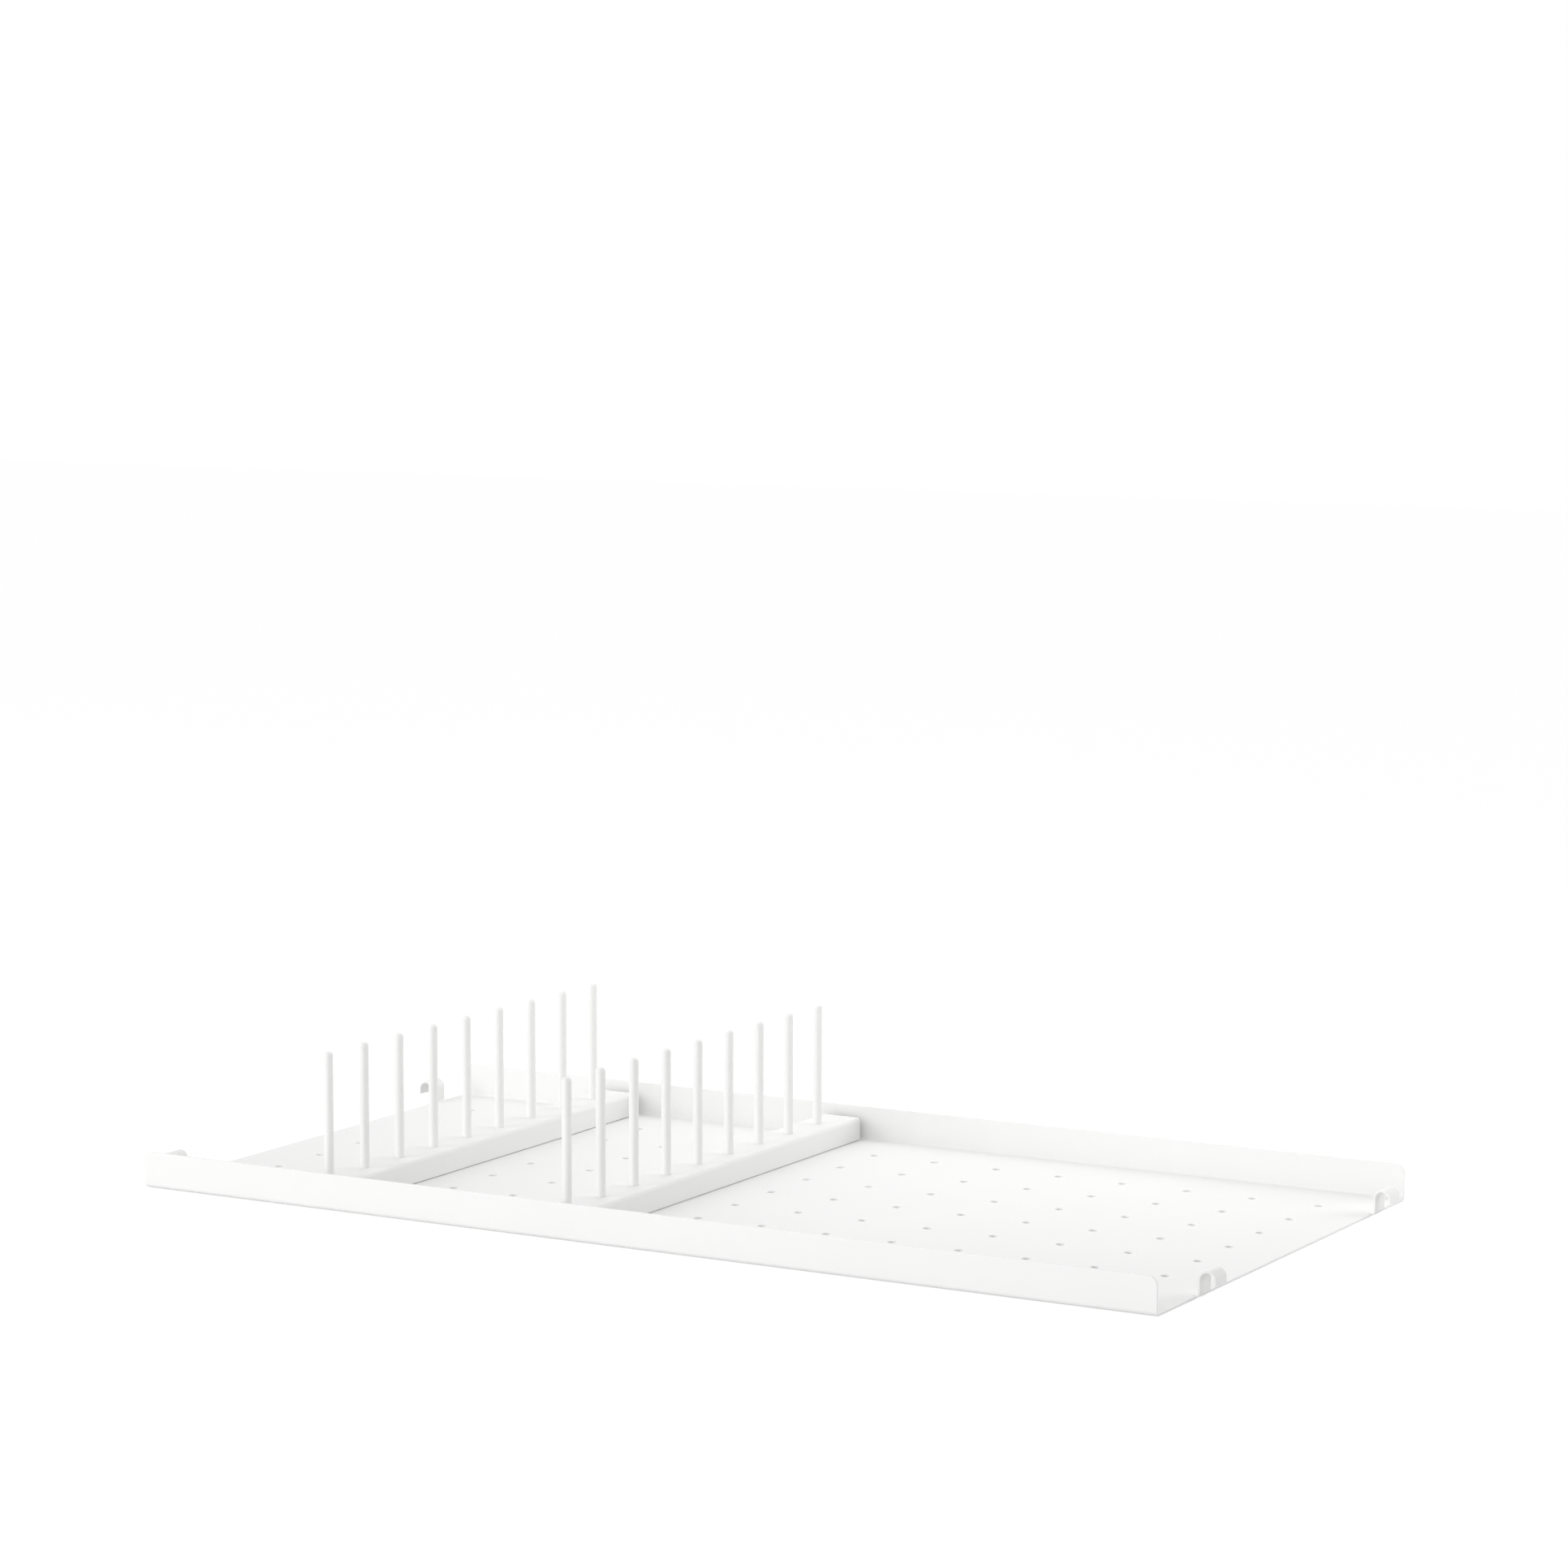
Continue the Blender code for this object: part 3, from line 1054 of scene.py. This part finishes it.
@dataclass
class Studio:
    """The camera, the pale floor, the white surroundings and the lamps."""

    camera_place: tuple[float, float, float] = (1.167755, -2.037578, 0.491285)
    yaw: float = 29.6697
    pitch: float = 6.7377
    roll: float = 0.1234
    focal_pixels: float = 5683.3
    sensor: float = 36.0
    nearest_seen: float = 50 * MM
    even_light: float = 0.2
    glows: tuple[Glow, ...] = (Glow((0, -1, 0), 1.19), Glow((-1, 0, 0), 0.48), Glow((0, 1, 0), 0.4))
    floor_side: float = 12.0
    floor_steps: int = 4
    floor_drop: float = 0.2 * MM
    # Size and soft border of the painted shade under the tray, where the floor gets no glow.
    painted_shade_size: tuple[float, float] = (580 * MM, 296 * MM)
    painted_shade_border: float = 3 * MM
    paper_colour: tuple[float, float, float, float] = (0.9, 0.9, 0.9, 1.0)
    shadow_colour: tuple[float, float, float, float] = (0.3, 0.3, 0.3, 1.0)
    white: tuple[float, float, float, float] = (1.0, 1.0, 1.0, 1.0)
    floor_glow: float = 0.8
    lamps: tuple[Lamp, ...] = (
        Lamp("key_lamp", (-1.25, -2.16, 0.35), 0.6, 4.65),
        Lamp("left_front_lamp", (-1.3, -1.3, 1.0), 0.8, 5.4),
        Lamp("right_rear_lamp", (0.75, 0.65, 0.35), 0.4, 2.26),
        Lamp("over_rear_lamp", (0.1, 0.3, 0.6), 0.5, 1.11),
        Lamp("over_left_lamp", (-0.25, 0.3, 0.6), 0.5, 0.86),
    )

    def build_camera(self) -> None:
        """Sets the camera from its yaw, pitch and roll, with no shift and no depth of field."""
        yaw, pitch, roll = (math.radians(angle) for angle in (self.yaw, self.pitch, self.roll))
        right = Vector((math.cos(yaw), math.sin(yaw), 0))
        level = Vector((-math.sin(yaw), math.cos(yaw), 0))
        ahead = level * math.cos(pitch) - Vector((0, 0, math.sin(pitch)))
        up = right.cross(ahead)
        tilted_right = right * math.cos(roll) + up * math.sin(roll)
        tilted_up = up * math.cos(roll) - right * math.sin(roll)
        data = bpy.data.cameras.new("camera")
        data.sensor_width = self.sensor
        data.lens = self.focal_pixels / IMAGE_SIDE * self.sensor
        data.clip_start = self.nearest_seen
        camera = bpy.data.objects.new("camera", data)
        bpy.context.scene.collection.objects.link(camera)
        turn = Matrix((tilted_right, tilted_up, -ahead)).transposed().to_4x4()
        camera.matrix_world = Matrix.Translation(self.camera_place) @ turn
        bpy.context.scene.camera = camera

    @staticmethod
    def seen(graph: ShaderGraph) -> Value:
        """Tells what is looked at from what lights the rack.

        Args:
            graph: the node tree that asks.

        Returns:
            1 for the camera's own rays, for reflections and through glass, and 0 for other light.
        """
        camera = graph.node("ShaderNodeLightPath", output="Is Camera Ray")
        glossy = graph.node("ShaderNodeLightPath", output="Is Glossy Ray")
        through = graph.node("ShaderNodeLightPath", output="Is Transmission Ray")
        return camera.larger(glossy).larger(through)

    def outside_painted_shade(self, graph: ShaderGraph, place: Value) -> Value:
        """Tells the glowing open floor from the painted shade under the tray: a patch the size of the tray's
        footprint where the floor gets no glow and stays dark.

        Args:
            graph: the floor's node tree.
            place: the object coordinates in it.

        Returns:
            0 in the painted shade under the tray and 1 outside it, with a narrow soft border.
        """
        over = [
            graph.node("ShaderNodeSeparateXYZ", None, {"Vector": place}, axis).size() - side / 2
            for axis, side in zip("XY", self.painted_shade_size)
        ]
        return over[0].larger(over[1]).above(-self.painted_shade_border, 0)

    def build_floor(self) -> None:
        """Lays a flat pale floor: white where it is looked at, with the rack's shadow kept on it and a
        painted shade under the tray's footprint.
        """
        half = self.floor_side / 2
        lines = np.linspace(-half, half, self.floor_steps + 1)
        surface = Surface()
        surface.grid(with_height(np.stack(cross(lines, lines), axis=-1), -self.floor_drop))
        mesh = surface.mesh("floor")
        made = bpy.data.objects.new("floor", mesh)
        bpy.context.scene.collection.objects.link(made)
        material, graph, place = new_material("floor_paper")
        paper = graph.node("ShaderNodeBsdfDiffuse", None, {"Color": self.paper_colour})
        shadow = graph.node("ShaderNodeBsdfDiffuse", None, {"Color": self.shadow_colour})
        glow = graph.node("ShaderNodeEmission", None, {"Color": self.white, "Strength": self.floor_glow})
        lit = graph.node("ShaderNodeAddShader", None, {0: shadow, 1: glow})
        # Under the tray's footprint the floor has no glow: painted shade, which the holes show dark.
        glow_or_painted_shade = graph.node("ShaderNodeMixShader", None, {0: self.outside_painted_shade(graph, place), 1: paper, 2: lit})
        shown = graph.node("ShaderNodeMixShader", None, {0: self.seen(graph), 1: paper, 2: glow_or_painted_shade})
        graph.node("ShaderNodeOutputMaterial", None, {"Surface": shown})
        mesh.materials.append(material)

    def build_surroundings(self) -> None:
        """Surrounds the rack with soft light, stronger from some directions, that looks white."""
        world = bpy.data.worlds.new("surroundings")
        bpy.context.scene.world = world
        world.use_nodes = True
        graph = ShaderGraph(world.node_tree)
        look = graph.node("ShaderNodeTexCoord", output="Generated")
        level = graph.node("ShaderNodeValue")
        level.socket.default_value = self.even_light
        for glow in self.glows:
            inputs = {0: look, 1: glow.towards}
            along = graph.node("ShaderNodeVectorMath", {"operation": "DOT_PRODUCT"}, inputs, "Value")
            level = level + along.larger(0.0) * glow.strength
        light = graph.node("ShaderNodeBackground", None, {"Color": level})
        white = graph.node("ShaderNodeBackground", None, {"Color": self.white})
        shown = graph.node("ShaderNodeMixShader", None, {0: self.seen(graph), 1: light, 2: white})
        graph.node("ShaderNodeOutputWorld", None, {"Surface": shown})

    def build(self) -> None:
        """Builds everything around the rack."""
        self.build_camera()
        self.build_floor()
        self.build_surroundings()
        for lamp in self.lamps:
            lamp.build()
        bpy.context.scene.view_settings.view_transform = "Standard"


# X of each bar's middle at rest.
LEFT_BAR_PLACE = -182.8 * MM
RIGHT_BAR_PLACE = -38.9 * MM


def main() -> None:
    """Builds the rack and its studio, and reports each piece's number of points."""
    logging.basicConfig(level=logging.INFO, format="%(name)s: %(message)s")
    workshop = Workshop()
    tray = Tray()
    tray.build(workshop)
    for side, place in ((Side.LEFT, LEFT_BAR_PLACE), (Side.RIGHT, RIGHT_BAR_PLACE)):
        PegBar(side, place, tray).build(workshop)
    Studio().build()
    for piece in workshop.pieces:
        log.info("%s: %d points", piece.name, len(piece.data.vertices))


if __name__ == "__main__":
    main()
